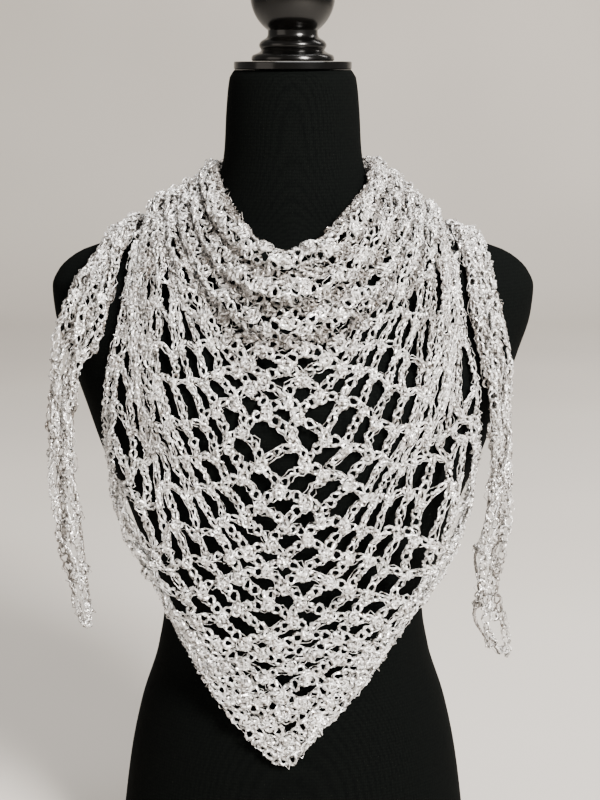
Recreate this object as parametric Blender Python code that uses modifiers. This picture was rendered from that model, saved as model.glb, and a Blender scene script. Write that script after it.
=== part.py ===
import math
from collections import namedtuple

import bmesh
import bpy
from mathutils import Vector

# A triangle scarf of open chain mesh, worn point down on a limbless dress form: a cowl at the neck,
# the two long ends crossed behind it and brought forward over the shoulders.
# Metres, +Z up, front towards -Y, origin at the middle of the form's flat foot.

# Sizes of the scarf
WALL = 0.0016            # thickness of the cloth
SEAM = 0.0003            # space left between neighbouring pieces
REST_GAP = 0.0013        # space between the cloth and the form where it rests
SHOULDER_GAP = 0.0015    # added on the shoulders, where the gathers stand on their edges
SHOULDER_HEIGHTS = (0.50, 0.55)
CENTRE_X = -0.006        # the scarf hangs a little to one side of the form

# Rows of the cloth, counted from its point, 0
TOP_ROW = 39             # the top border
SHOULDER_ROW = 19        # the first row that crosses the shoulder
TAIL_END_ROW = 37        # the row where the ends run out

# Gathers and folds
SHOULDER_PLEATS = 6      # gathers over each shoulder
SIDE_PLEATS = 2          # and below them at each side of the front
PLEAT_ROWS = (TOP_ROW - SHOULDER_ROW) / SHOULDER_PLEATS
PLEAT_FIRST_ROW = SHOULDER_ROW - SIDE_PLEATS * PLEAT_ROWS
SHOULDER_PLEAT = 0.007   # height of the gathers on the shoulders
COWL_FOLD = 0.006        # height of the folds that swag across the cowl
COWL_ROWS = (25, 30)     # the cowl's folds grow between these rows
COWL_ACROSS = (0.2, 0.9)     # and change into the shoulder's gathers between these shares of the half width
NEAR_SHOULDER = 0.75     # from this share on the gathers turn to stand square on the shoulder line

# The long ends, by the number of the station in their tables
BEND_STATIONS = (0.0, 2.0)       # the shoulder line's bend fades out between these
LEAVE_STATIONS = (0.0, 1.5)      # the gathers turn from the shoulder line's direction to the band's own
NAPE_STATIONS = (0.9, 2.2)       # the bands settle round the nape
RISE_STATIONS = (6.3, 7.7)       # and leave it again for the second shoulder
TAIL_STATION = 8                 # over the second shoulder, where the nape ends and the tail starts
NAPE_STACK = 0.0105      # the outer band lies this much further out than the inner one

# The front's middle line, from the point up
Middle = namedtuple("Middle", "row height depth")
FRONT_MIDDLE = (
    Middle(0, 0.128, 0.103),
    Middle(3, 0.146, 0.104),
    Middle(6, 0.175, 0.105),
    Middle(9, 0.207, 0.108),
    Middle(12, 0.240, 0.111),
    Middle(15, 0.279, 0.114),
    Middle(19, 0.330, 0.118),
    Middle(22, 0.384, 0.119),
    Middle(25, 0.437, 0.117),
    Middle(27, 0.463, 0.115),
    Middle(30, 0.492, 0.111),
    Middle(33, 0.516, 0.106),
    Middle(36, 0.537, 0.100),
    Middle(39, 0.558, 0.092),
)

# The front's side edges: the slanted edge to row 19, then the line over the shoulder to the neck
Edge = namedtuple("Edge", "row side height depth")
FRONT_LEFT = (
    Edge(0, -0.021, 0.130, 0.102),
    Edge(1.5, -0.044, 0.160, 0.100),
    Edge(3, -0.067, 0.189, 0.095),
    Edge(6, -0.103, 0.253, 0.081),
    Edge(8.6, -0.132, 0.311, 0.067),
    Edge(10, -0.149, 0.344, 0.057),
    Edge(12, -0.155, 0.392, 0.055),
    Edge(13.6, -0.150, 0.440, 0.071),
    Edge(15.2, -0.141, 0.492, 0.069),
    Edge(17, -0.131, 0.540, 0.044),
    Edge(18, -0.127, 0.562, 0.022),
    Edge(19, -0.121, 0.577, 0.003),
    Edge(24, -0.110, 0.586, 0.000),
    Edge(29, -0.096, 0.592, 0.000),
    Edge(34, -0.080, 0.597, 0.000),
    Edge(39, -0.062, 0.618, 0.000),
)
FRONT_RIGHT = (
    Edge(0, 0.006, 0.132, 0.102),
    Edge(1.2, 0.024, 0.157, 0.100),
    Edge(2, 0.039, 0.171, 0.097),
    Edge(4, 0.069, 0.209, 0.090),
    Edge(6, 0.096, 0.249, 0.081),
    Edge(9, 0.137, 0.310, 0.062),
    Edge(11, 0.151, 0.358, 0.053),
    Edge(12, 0.154, 0.381, 0.054),
    Edge(13.6, 0.149, 0.430, 0.070),
    Edge(15.2, 0.140, 0.484, 0.070),
    Edge(17, 0.131, 0.536, 0.045),
    Edge(18, 0.127, 0.558, 0.022),
    Edge(19, 0.121, 0.573, 0.003),
    Edge(24, 0.111, 0.580, 0.000),
    Edge(29, 0.099, 0.590, 0.000),
    Edge(34, 0.084, 0.604, 0.000),
    Edge(39, 0.064, 0.620, 0.000),
)

# How round the rows hang: 1 is a plain V, 2 a half ellipse
Bow = namedtuple("Bow", "row roundness")
ROW_BOW = (
    Bow(0, 1.0),
    Bow(4, 1.15),
    Bow(8, 1.4),
    Bow(12, 1.6),
    Bow(16, 1.6),
    Bow(20, 1.7),
    Bow(25, 1.9),
    Bow(39, 1.6),
)

# The long ends: from one shoulder round the nape to the other, then down in front as a tail.
# The inner edge is the top border of the cloth, the outer edge its slanted side.
Station = namedtuple("Station", "inner_x inner_y inner_z outer_x outer_y outer_z pleat")
WRAP_UNDER = (
    Station(-0.062, 0.000, 0.618, -0.121, -0.003, 0.577, 0.007),
    Station(-0.060, 0.016, 0.622, -0.119, 0.014, 0.573, 0.007),
    Station(-0.053, 0.034, 0.624, -0.112, 0.034, 0.561, 0.005),
    Station(-0.038, 0.052, 0.626, -0.090, 0.062, 0.545, 0.005),
    Station(0.000, 0.060, 0.620, -0.030, 0.088, 0.532, 0.005),
    Station(0.042, 0.052, 0.610, 0.045, 0.090, 0.528, 0.005),
    Station(0.096, 0.046, 0.582, 0.116, 0.062, 0.536, 0.003),
    Station(0.129, 0.022, 0.568, 0.146, 0.026, 0.552, 0.002),
    Station(0.132, -0.004, 0.567, 0.154, -0.004, 0.558, 0.002),
    Station(0.140, -0.032, 0.548, 0.164, -0.030, 0.538, 0.004),
    Station(0.143, -0.060, 0.520, 0.169, -0.050, 0.512, 0.005),
    Station(0.146, -0.071, 0.490, 0.174, -0.062, 0.489, 0.006),
    Station(0.160, -0.073, 0.430, 0.180, -0.063, 0.438, 0.005),
    Station(0.163, -0.067, 0.370, 0.182, -0.060, 0.376, 0.005),
    Station(0.158, -0.062, 0.321, 0.182, -0.058, 0.324, 0.005),
    Station(0.149, -0.060, 0.291, 0.180, -0.057, 0.294, 0.004),
    Station(0.155, -0.058, 0.262, 0.174, -0.056, 0.264, 0.003),
    Station(0.148, -0.056, 0.240, 0.181, -0.055, 0.238, 0.003),
    Station(0.166, -0.055, 0.207, 0.187, -0.054, 0.206, 0.002),
)
WRAP_OVER = (
    Station(0.064, 0.000, 0.620, 0.121, -0.003, 0.573, 0.007),
    Station(0.062, 0.016, 0.623, 0.118, 0.014, 0.570, 0.007),
    Station(0.055, 0.034, 0.624, 0.110, 0.034, 0.560, 0.005),
    Station(0.040, 0.056, 0.622, 0.085, 0.068, 0.543, 0.005),
    Station(0.000, 0.070, 0.612, 0.020, 0.096, 0.528, 0.005),
    Station(-0.045, 0.064, 0.604, -0.055, 0.096, 0.526, 0.005),
    Station(-0.096, 0.046, 0.590, -0.124, 0.062, 0.537, 0.003),
    Station(-0.129, 0.022, 0.577, -0.149, 0.026, 0.550, 0.003),
    Station(-0.130, -0.004, 0.574, -0.155, -0.004, 0.557, 0.003),
    Station(-0.139, -0.032, 0.550, -0.168, -0.030, 0.541, 0.004),
    Station(-0.145, -0.054, 0.524, -0.184, -0.050, 0.518, 0.005),
    Station(-0.152, -0.069, 0.487, -0.193, -0.062, 0.488, 0.006),
    Station(-0.175, -0.068, 0.448, -0.201, -0.064, 0.450, 0.006),
    Station(-0.181, -0.066, 0.385, -0.203, -0.064, 0.386, 0.005),
    Station(-0.174, -0.062, 0.313, -0.200, -0.061, 0.316, 0.005),
    Station(-0.170, -0.059, 0.262, -0.189, -0.058, 0.270, 0.004),
    Station(-0.168, -0.057, 0.232, -0.180, -0.056, 0.236, 0.002),
)

# How finely the cloth is divided
FRONT_COLUMNS = 26
FRONT_REACH = 0.9996     # the front stops short of the shoulder line by half a seam
LOW_ROWS = (0, 1.5, 3.5, 5.5, 7.5, 9.5, 11)      # rows cut below the first gather
CUTS_PER_PLEAT = 4
CUTS_PER_STATION = 2

# Steps for reading a slope: in rows, in shares of the width and in metres
ROW_STEP = 0.4
ACROSS_STEP = 0.01
ACROSS_INSIDE = 0.985
SHARE_STEP = 0.1
STATION_STEP = 0.2
FORM_STEP = 0.0005
LIFT_TURNS = 4           # a point is moved off the form in this many turns, each nearer its place

# The dress form, foot to neck; roundness 2 is an ellipse, less is pointed towards the shoulders
Ring = namedtuple("Ring", "height half_width front back roundness")
FORM = (
    Ring(0.000, 0.157, 0.100, 0.108, 2.2),
    Ring(0.047, 0.152, 0.101, 0.110, 2.2),
    Ring(0.100, 0.145, 0.100, 0.108, 2.2),
    Ring(0.147, 0.135, 0.096, 0.101, 2.2),
    Ring(0.195, 0.120, 0.088, 0.089, 2.2),
    Ring(0.235, 0.114, 0.085, 0.081, 2.2),
    Ring(0.277, 0.127, 0.091, 0.082, 2.2),
    Ring(0.336, 0.147, 0.104, 0.090, 2.2),
    Ring(0.378, 0.165, 0.114, 0.097, 2.2),
    Ring(0.420, 0.179, 0.118, 0.102, 2.2),
    Ring(0.460, 0.193, 0.109, 0.104, 2.1),
    Ring(0.495, 0.204, 0.093, 0.101, 2.0),
    Ring(0.517, 0.206, 0.083, 0.095, 1.85),
    Ring(0.531, 0.200, 0.077, 0.089, 1.6),
    Ring(0.541, 0.190, 0.073, 0.084, 1.45),
    Ring(0.549, 0.176, 0.070, 0.079, 1.35),
    Ring(0.556, 0.153, 0.067, 0.075, 1.35),
    Ring(0.566, 0.122, 0.063, 0.069, 1.4),
    Ring(0.579, 0.091, 0.059, 0.063, 1.6),
    Ring(0.598, 0.067, 0.056, 0.059, 1.9),
    Ring(0.631, 0.058, 0.053, 0.055, 2.0),
    Ring(0.665, 0.056, 0.052, 0.054, 2.0),
    Ring(0.692, 0.053, 0.049, 0.051, 2.0),
    Ring(0.698, 0.049, 0.045, 0.047, 2.0),
)
FORM_SIDES = 32
FORM_RING_SPACE = 0.03   # the widest space between the form's rings

# The neck cap and the turned finial
CAP_RADIUS = 0.0495
CAP_THICKNESS = 0.0065
CAP_EDGE = 0.0015
CAP_SIDES = 28
FINIAL_STEPS = 22
Turn = namedtuple("Turn", "radius height")
FINIAL_FOOT = (          # heights above the cap, below the ball
    Turn(0.0205, 0.0225),
    Turn(0.0215, 0.0195),
    Turn(0.0265, 0.0165),
    Turn(0.0280, 0.0130),
    Turn(0.0265, 0.0095),
    Turn(0.0270, 0.0080),
    Turn(0.0335, 0.0055),
    Turn(0.0345, 0.0025),
    Turn(0.0335, 0.0000),
)
BALL_RADIUS = 0.0355
BALL_HEIGHT = 0.0540     # the ball's middle above the cap
BALL_CUTS = 10

Finish = namedtuple("Finish", "colour metallic roughness")
SILVER_YARN = Finish((0.62, 0.61, 0.60), 0.25, 0.45)
BLACK_JERSEY = Finish((0.008, 0.008, 0.009), 0.0, 0.9)
BLACK_LACQUER = Finish((0.006, 0.006, 0.006), 0.0, 0.15)

EAST = Vector((1.0, 0.0, 0.0))
BACK = Vector((0.0, 1.0, 0.0))
UP = Vector((0.0, 0.0, 1.0))


def clear_scene():
    for item in list(bpy.data.objects):
        bpy.data.objects.remove(item)


def material(name, finish):
    made = bpy.data.materials.new(name)
    made.use_nodes = True
    shader = made.node_tree.nodes["Principled BSDF"]
    shader.inputs["Base Color"].default_value = (*finish.colour, 1.0)
    shader.inputs["Metallic"].default_value = finish.metallic
    shader.inputs["Roughness"].default_value = finish.roughness
    made.diffuse_color = (*finish.colour, 1.0)
    return made


def smooth(low, high, value):
    """0 below low, 1 above high and an even S between them."""
    part = min(max((value - low) / (high - low), 0.0), 1.0)
    return part * part * (3.0 - 2.0 * part)


def slopes_through(keys, values):
    """Slopes for a smooth curve that never swings past the values it joins."""
    steps = [(values[i + 1] - values[i]) / (keys[i + 1] - keys[i]) for i in range(len(keys) - 1)]
    slopes = [steps[0]]
    for before, after in zip(steps, steps[1:]):
        slopes.append(0.0 if before * after <= 0 else 2.0 * before * after / (before + after))
    return slopes + [steps[-1]]


class Curve:
    """A smooth curve through one column of a table, by the table's first column or by its row number."""

    def __init__(self, table, column, by_position=False):
        self.keys = list(range(len(table))) if by_position else [row[0] for row in table]
        self.values = [getattr(row, column) for row in table]
        self.slopes = slopes_through(self.keys, self.values)

    def at(self, key):
        key = min(max(key, self.keys[0]), self.keys[-1])
        i = max(k for k in range(len(self.keys) - 1) if self.keys[k] <= key)
        span = self.keys[i + 1] - self.keys[i]
        t = (key - self.keys[i]) / span
        rise = 3 * t**2 - 2 * t**3
        return (
            self.values[i] * (1 - rise)
            + self.values[i + 1] * rise
            + span * (self.slopes[i] * t * (1 - t) ** 2 - self.slopes[i + 1] * t**2 * (1 - t))
        )


def curves(table, columns, by_position=False):
    return {column: Curve(table, column, by_position) for column in columns}


form_curves = curves(FORM, ("half_width", "front", "back", "roundness"))
middle_curves = curves(FRONT_MIDDLE, ("height", "depth"))
left_curves = curves(FRONT_LEFT, ("side", "height", "depth"))
right_curves = curves(FRONT_RIGHT, ("side", "height", "depth"))
bow_curve = Curve(ROW_BOW, "roundness")


def form_point(angle, height):
    """Point of the form's surface at a turn round it, 0 towards +X."""
    ring = {name: curve.at(height) for name, curve in form_curves.items()}
    c, s = math.cos(angle), math.sin(angle)
    power = 2.0 / ring["roundness"]
    depth = ring["back"] if s > 0 else ring["front"]
    x = ring["half_width"] * math.copysign(abs(c) ** power, c)
    y = depth * math.copysign(abs(s) ** power, s)
    return Vector((x, y, height))


def form_reach(point):
    """1 on the form's surface, more outside it."""
    ring = {name: curve.at(point.z) for name, curve in form_curves.items()}
    depth = ring["back"] if point.y > 0 else ring["front"]
    n = ring["roundness"]
    return (abs(point.x / ring["half_width"]) ** n + abs(point.y / depth) ** n) ** (1.0 / n)


def lifted(point, gap, held=0.0):
    """The point, moved straight off the form where it is nearer to it than the gap.
    Held cloth is also drawn in to the gap: by all of what it stands off at 1, by none at 0."""
    for _ in range(LIFT_TURNS):
        reach = form_reach(point)
        ahead = [point + axis * FORM_STEP for axis in (EAST, BACK, UP)]
        slope = Vector([form_reach(near) - reach for near in ahead]) / FORM_STEP
        move = gap - (reach - 1.0) / slope.length
        if move < 0:
            move *= held
        point = point + slope.normalized() * move
    return point


def rest_gap(height):
    return REST_GAP + WALL / 2 + SHOULDER_GAP * smooth(*SHOULDER_HEIGHTS, height)


def front_base(row, across):
    """Front of the scarf before its gathers; across runs from -1, the left edge, to 1, the right."""
    edge = left_curves if across < 0 else right_curves
    out = min(abs(across), 1.0)
    bow = bow_curve.at(row)
    bend = (out**bow + (1 - out) ** bow) ** (1 / bow)
    sideways, hang = out / bend, (1 - out) / bend
    side, high, deep = (edge[name].at(row) for name in ("side", "height", "depth"))
    low, full = middle_curves["height"].at(row), middle_curves["depth"].at(row)
    point = Vector(
        (
            CENTRE_X + (side - CENTRE_X) * sideways,
            -(deep + (full - deep) * hang ** (bow / 2)),
            high + (low - high) * hang,
        )
    )
    return lifted(point, rest_gap(point.z))


def gather(row):
    """0 in the dip between two gathers, 1 on the crest of one."""
    return 0.5 - 0.5 * math.cos(2 * math.pi * (row - PLEAT_FIRST_ROW) / PLEAT_ROWS)


def gather_grows(row):
    """The gathers start low at the side of the front and are full height by the shoulder."""
    return smooth(PLEAT_FIRST_ROW, SHOULDER_ROW + PLEAT_ROWS, row)


def front_fold(row, across):
    """How far the gathers raise the front."""
    sideways = smooth(*COWL_ACROSS, abs(across))
    shoulder = SHOULDER_PLEAT * sideways * gather_grows(row)
    cowl = COWL_FOLD * (1 - sideways) * smooth(*COWL_ROWS, row)
    return gather(row) * (shoulder + cowl)


def surface_normal(base, first, second, steps):
    """Outward direction of a surface given by two numbers."""
    along = base(first + steps[0], second) - base(first - steps[0], second)
    across = base(first, second + steps[1]) - base(first, second - steps[1])
    return along.cross(across).normalized()


def front_point(row, across):
    inside_row = min(max(row, ROW_STEP), TOP_ROW - ROW_STEP)
    inside = min(max(across, -ACROSS_INSIDE), ACROSS_INSIDE)
    outward = -surface_normal(front_base, inside_row, inside, (ROW_STEP, ACROSS_STEP))
    near_shoulder = smooth(NEAR_SHOULDER, 1, abs(across)) * smooth(SHOULDER_ROW - 3, SHOULDER_ROW, row)
    outward = outward.lerp(shoulder_normal(row, left_curves if across < 0 else right_curves), near_shoulder)
    return front_base(row, across) + outward.normalized() * front_fold(row, across)


def shoulder_normal(row, edge):
    """Direction in which the gathers stand where the cloth goes over the shoulder."""
    above, below = min(row + 1, TOP_ROW), max(row - 1, SHOULDER_ROW - 1)
    run = abs(edge["side"].at(below)) - abs(edge["side"].at(above))
    rise = edge["height"].at(above) - edge["height"].at(below)
    return Vector((math.copysign(rise, edge["side"].at(row)), 0.0, run)).normalized()


class Wrap:
    """One long end of the scarf, from the front's shoulder line to the tip of its tail."""

    def __init__(self, stations, edge_curves, stack):
        self.stations = stations
        self.edge_curves = edge_curves
        self.stack = stack
        self.columns = curves(stations, Station._fields, by_position=True)
        self.last = len(stations) - 1
        self.lengths = [0.0]
        for i in range(self.last):
            self.lengths.append(self.lengths[-1] + (self.spine(i + 1) - self.spine(i)).length)

    def edge(self, name, station):
        return Vector([self.columns[f"{name}_{axis}"].at(station) for axis in "xyz"])

    def spine(self, station):
        return (self.edge("inner", station) + self.edge("outer", station)) / 2

    def first_row(self, station):
        """The cloth narrows evenly along its slanted side, from row 19 to the last rows."""
        i = min(int(station), self.last - 1)
        length = self.lengths[i] + (self.lengths[i + 1] - self.lengths[i]) * (station - i)
        return SHOULDER_ROW + (TAIL_END_ROW - SHOULDER_ROW) * length / self.lengths[-1]

    def held(self, station):
        """The bands lie close at the nape and looser over the shoulders."""
        return smooth(*NAPE_STATIONS, station) * (1 - smooth(*RISE_STATIONS, station))

    def base(self, share, station):
        """share is 0 on the outer edge and 1 on the inner, by the neck."""
        straight = self.edge("outer", station).lerp(self.edge("inner", station), share)
        shoulder_row = SHOULDER_ROW + (TOP_ROW - SHOULDER_ROW) * share
        side, high, deep = (self.edge_curves[name].at(shoulder_row) for name in ("side", "height", "depth"))
        start = self.edge("outer", 0).lerp(self.edge("inner", 0), share)
        bend = Vector((side, -deep, high)) - start
        point = straight + bend * (1 - smooth(*BEND_STATIONS, station))
        held = self.held(station)
        return lifted(point, rest_gap(point.z) + self.stack * held, held)

    def point(self, share, station):
        row = self.first_row(station) + (TOP_ROW - self.first_row(station)) * share
        point = self.base(share, station)
        inside_share = min(max(share, SHARE_STEP), 1 - SHARE_STEP)
        inside = min(max(station, STATION_STEP), self.last - STATION_STEP)
        outward = surface_normal(self.base, inside_share, inside, (SHARE_STEP, STATION_STEP))
        if form_reach(point + outward * WALL) < form_reach(point):
            outward = -outward
        shoulder_row = SHOULDER_ROW + (TOP_ROW - SHOULDER_ROW) * share
        left_shoulder = smooth(*LEAVE_STATIONS, station)
        outward = shoulder_normal(shoulder_row, self.edge_curves).lerp(outward, left_shoulder).normalized()
        grown = gather_grows(row)
        height = self.columns["pleat"].at(station) * (grown + (1 - grown) * left_shoulder)
        return point + outward * gather(row) * height

    def lines(self, stations):
        cuts = SHOULDER_PLEATS * CUTS_PER_PLEAT
        return [[self.point(i / cuts, station) for i in range(cuts + 1)] for station in stations]


def wall_object(name, points, spare_lines, finish, collection):
    """A wall of cloth over a grid of points; spare lines at the start and the end only give it its slope."""
    last = len(points) - 1
    sides = ([], [])
    for i in range(spare_lines[0], len(points) - spare_lines[1]):
        before, after = points[max(i - 1, 0)], points[min(i + 1, last)]
        for side in sides:
            side.append([])
        for j, point in enumerate(points[i]):
            left, right = points[i][max(j - 1, 0)], points[i][min(j + 1, len(points[i]) - 1)]
            half = (after[j] - before[j]).cross(right - left).normalized() * WALL / 2
            sides[0][-1].append(point + half)
            sides[1][-1].append(point - half)
    mesh = bmesh.new()
    outer, inner = ([[mesh.verts.new(point) for point in line] for line in side] for side in sides)
    for grid in (outer, inner):
        for line, following in zip(grid, grid[1:]):
            for i in range(len(line) - 1):
                mesh.faces.new((line[i], line[i + 1], following[i + 1], following[i]))
    for (a, b), (c, d) in zip(border(outer), border(inner)):
        mesh.faces.new((a, b, d, c))
    bmesh.ops.recalc_face_normals(mesh, faces=mesh.faces)
    return mesh_object(name, mesh, finish, collection)


def border(grid):
    """The edges round a grid of vertices, in order."""
    ends = [line[-1] for line in grid[1:]]
    starts = [line[0] for line in grid[-2:0:-1]]
    ring = grid[0] + ends + grid[-1][-2::-1] + starts
    return list(zip(ring, ring[1:] + ring[:1]))


def mesh_object(name, mesh, finish, collection):
    data = bpy.data.meshes.new(name)
    mesh.to_mesh(data)
    mesh.free()
    made = bpy.data.objects.new(name, data)
    data.materials.append(finish)
    data.shade_smooth()
    collection.objects.link(made)
    return made


def past_edge(row, at_edge, inside):
    """A point past the front's edge: over the shoulder the cloth goes on as it came, lower it runs on."""
    over = smooth(SHOULDER_ROW - 1, SHOULDER_ROW, row)
    straight = at_edge * 2 - inside
    mirrored = Vector((inside.x, 2 * at_edge.y - inside.y, inside.z))
    return straight.lerp(mirrored, over)


def scarf_front(yarn, collection):
    pleat_rows = [
        PLEAT_FIRST_ROW + i * PLEAT_ROWS / CUTS_PER_PLEAT
        for i in range((SIDE_PLEATS + SHOULDER_PLEATS) * CUTS_PER_PLEAT + 1)
    ]
    rows = (*LOW_ROWS, *pleat_rows)
    columns = [2.0 * i / FRONT_COLUMNS - 1.0 for i in range(FRONT_COLUMNS + 1)]
    columns[0], columns[-1] = -FRONT_REACH, FRONT_REACH
    points = [[front_point(row, across) for row in rows] for across in columns]
    left, right = (
        [past_edge(row, at_edge, inside) for row, at_edge, inside in zip(rows, *lines)]
        for lines in ((points[0], points[1]), (points[-1], points[-2]))
    )
    wall_object("scarf_front", [left, *points, right], (1, 1), yarn, collection)


def scarf_wrap(wrap, nape_name, tail_name, yarn, collection):
    over_shoulder = wrap.lengths[TAIL_STATION + 1] - wrap.lengths[TAIL_STATION]
    seam = 2 * SEAM / over_shoulder      # the shoulder line lies aslant, so this leaves the seam square
    step = 1 / CUTS_PER_STATION
    nape = [i * step for i in range(TAIL_STATION * CUTS_PER_STATION + 1)]
    tail = [i * step for i in range(TAIL_STATION * CUTS_PER_STATION, wrap.last * CUTS_PER_STATION + 1)]
    nape[0] += seam / 2
    nape[-1] -= seam / 2
    tail[0] += seam / 2

    nape_lines = wrap.lines([*nape, TAIL_STATION + step])
    before = [past_edge(TOP_ROW, at_edge, inside) for at_edge, inside in zip(*nape_lines[:2])]
    wall_object(nape_name, [before, *nape_lines], (1, 1), yarn, collection)
    wall_object(tail_name, wrap.lines([TAIL_STATION - step, *tail]), (1, 0), yarn, collection)


def dress_form(jersey, collection):
    heights = [FORM[0].height]
    for below, above in zip(FORM, FORM[1:]):
        cuts = max(1, round((above.height - below.height) / FORM_RING_SPACE))
        heights += [below.height + (above.height - below.height) * (i + 1) / cuts for i in range(cuts)]
    mesh = bmesh.new()
    rings = [
        [mesh.verts.new(form_point(2 * math.pi * i / FORM_SIDES, height)) for i in range(FORM_SIDES)]
        for height in heights
    ]
    for lower, upper in zip(rings, rings[1:]):
        for i in range(FORM_SIDES):
            j = (i + 1) % FORM_SIDES
            mesh.faces.new((lower[i], lower[j], upper[j], upper[i]))
    mesh.faces.new(reversed(rings[0]))
    mesh.faces.new(rings[-1])
    mesh_object("dress_form", mesh, jersey, collection)


def neck_cap(lacquer, collection):
    base = FORM[-1].height + SEAM
    mesh = bmesh.new()
    bmesh.ops.create_cone(
        mesh, cap_ends=True, segments=CAP_SIDES, radius1=CAP_RADIUS, radius2=CAP_RADIUS, depth=CAP_THICKNESS
    )
    bmesh.ops.translate(mesh, verts=mesh.verts, vec=UP * (base + CAP_THICKNESS / 2))
    made = mesh_object("neck_cap", mesh, lacquer, collection)
    bevel = made.modifiers.new("Edge", "BEVEL")
    bevel.width = CAP_EDGE
    bevel.segments = 2
    bevel.limit_method = "ANGLE"
    return base + CAP_THICKNESS


def finial(cap_top, lacquer, collection):
    base = cap_top + SEAM
    neck = FINIAL_FOOT[0]
    meets = math.asin(neck.radius / BALL_RADIUS)      # angle below the ball's middle where the neck starts
    profile = [
        Turn(BALL_RADIUS * math.sin(angle), BALL_HEIGHT + BALL_RADIUS * math.cos(angle))
        for angle in ((math.pi - meets) * i / BALL_CUTS for i in range(BALL_CUTS + 1))
    ]
    profile += FINIAL_FOOT + (Turn(0.0, 0.0),)
    mesh = bmesh.new()
    points = [mesh.verts.new((turn.radius, 0.0, base + turn.height)) for turn in profile]
    for upper, lower in zip(points, points[1:]):
        mesh.edges.new((upper, lower))
    made = mesh_object("finial", mesh, lacquer, collection)
    screw = made.modifiers.new("Turned", "SCREW")
    screw.steps = FINIAL_STEPS
    screw.render_steps = FINIAL_STEPS
    screw.use_merge_vertices = True
    screw.merge_threshold = 0.00005


def main():
    clear_scene()
    collection = bpy.data.collections.new("triangle_scarf_on_dress_form")
    bpy.context.scene.collection.children.link(collection)
    yarn = material("silver_yarn", SILVER_YARN)
    jersey = material("black_jersey", BLACK_JERSEY)
    lacquer = material("black_lacquer", BLACK_LACQUER)

    dress_form(jersey, collection)
    finial(neck_cap(lacquer, collection), lacquer, collection)
    scarf_front(yarn, collection)
    under = Wrap(WRAP_UNDER, left_curves, 0.0)
    over = Wrap(WRAP_OVER, right_curves, NAPE_STACK)
    scarf_wrap(under, "scarf_nape_under", "scarf_tail_right", yarn, collection)
    scarf_wrap(over, "scarf_nape_over", "scarf_tail_left", yarn, collection)


main()
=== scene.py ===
import math

import bpy
import numpy as np
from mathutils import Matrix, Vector


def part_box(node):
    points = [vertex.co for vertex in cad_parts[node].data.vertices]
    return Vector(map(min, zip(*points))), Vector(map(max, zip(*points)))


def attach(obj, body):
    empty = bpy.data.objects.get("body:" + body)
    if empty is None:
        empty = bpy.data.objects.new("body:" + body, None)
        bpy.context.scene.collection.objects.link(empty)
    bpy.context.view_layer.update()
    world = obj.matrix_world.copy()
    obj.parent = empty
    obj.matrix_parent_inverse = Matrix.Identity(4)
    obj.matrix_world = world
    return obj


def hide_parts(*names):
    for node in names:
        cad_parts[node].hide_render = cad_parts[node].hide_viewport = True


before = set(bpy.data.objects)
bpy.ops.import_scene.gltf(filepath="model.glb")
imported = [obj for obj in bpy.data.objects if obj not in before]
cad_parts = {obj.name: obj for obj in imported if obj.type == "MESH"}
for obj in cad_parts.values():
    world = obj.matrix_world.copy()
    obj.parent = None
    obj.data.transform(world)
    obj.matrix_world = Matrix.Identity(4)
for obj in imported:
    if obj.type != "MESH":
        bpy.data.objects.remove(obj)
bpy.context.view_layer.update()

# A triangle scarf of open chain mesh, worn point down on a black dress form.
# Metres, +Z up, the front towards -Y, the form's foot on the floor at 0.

dice = np.random.default_rng(27)


def smooth(low, high, value):
    part = np.clip((value - low) / (high - low), 0.0, 1.0)
    return part * part * (3 - 2 * part)


def unit(vectors):
    return vectors / np.maximum(np.linalg.norm(vectors, axis=-1, keepdims=True), 1e-9)


def curveThrough(keys, values):
    # a smooth curve that never swings past the values it joins
    keys, values = np.asarray(keys, float), np.asarray(values, float)
    steps = np.diff(values) / np.diff(keys)
    slopes = np.concatenate((steps[:1], np.zeros(len(steps) - 1), steps[-1:]))
    for i in range(1, len(steps)):
        before, after = steps[i - 1], steps[i]
        if before * after > 0:
            slopes[i] = 2 * before * after / (before + after)

    def at(key):
        key = np.clip(key, keys[0], keys[-1])
        i = np.clip(np.searchsorted(keys, key, side="right") - 1, 0, len(keys) - 2)
        span = keys[i + 1] - keys[i]
        t = (key - keys[i]) / span
        rise = t * t * (3 - 2 * t)
        bend = slopes[i] * t * (1 - t) ** 2 - slopes[i + 1] * t * t * (1 - t)
        return values[i] * (1 - rise) + values[i + 1] * rise + span * bend

    return at


def table(names, *rows):
    # one curve for each named column, by the first column
    columns = np.array(rows, float).T
    return {name: curveThrough(columns[0], column) for name, column in zip(names.split(), columns)}


# The dress form

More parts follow.
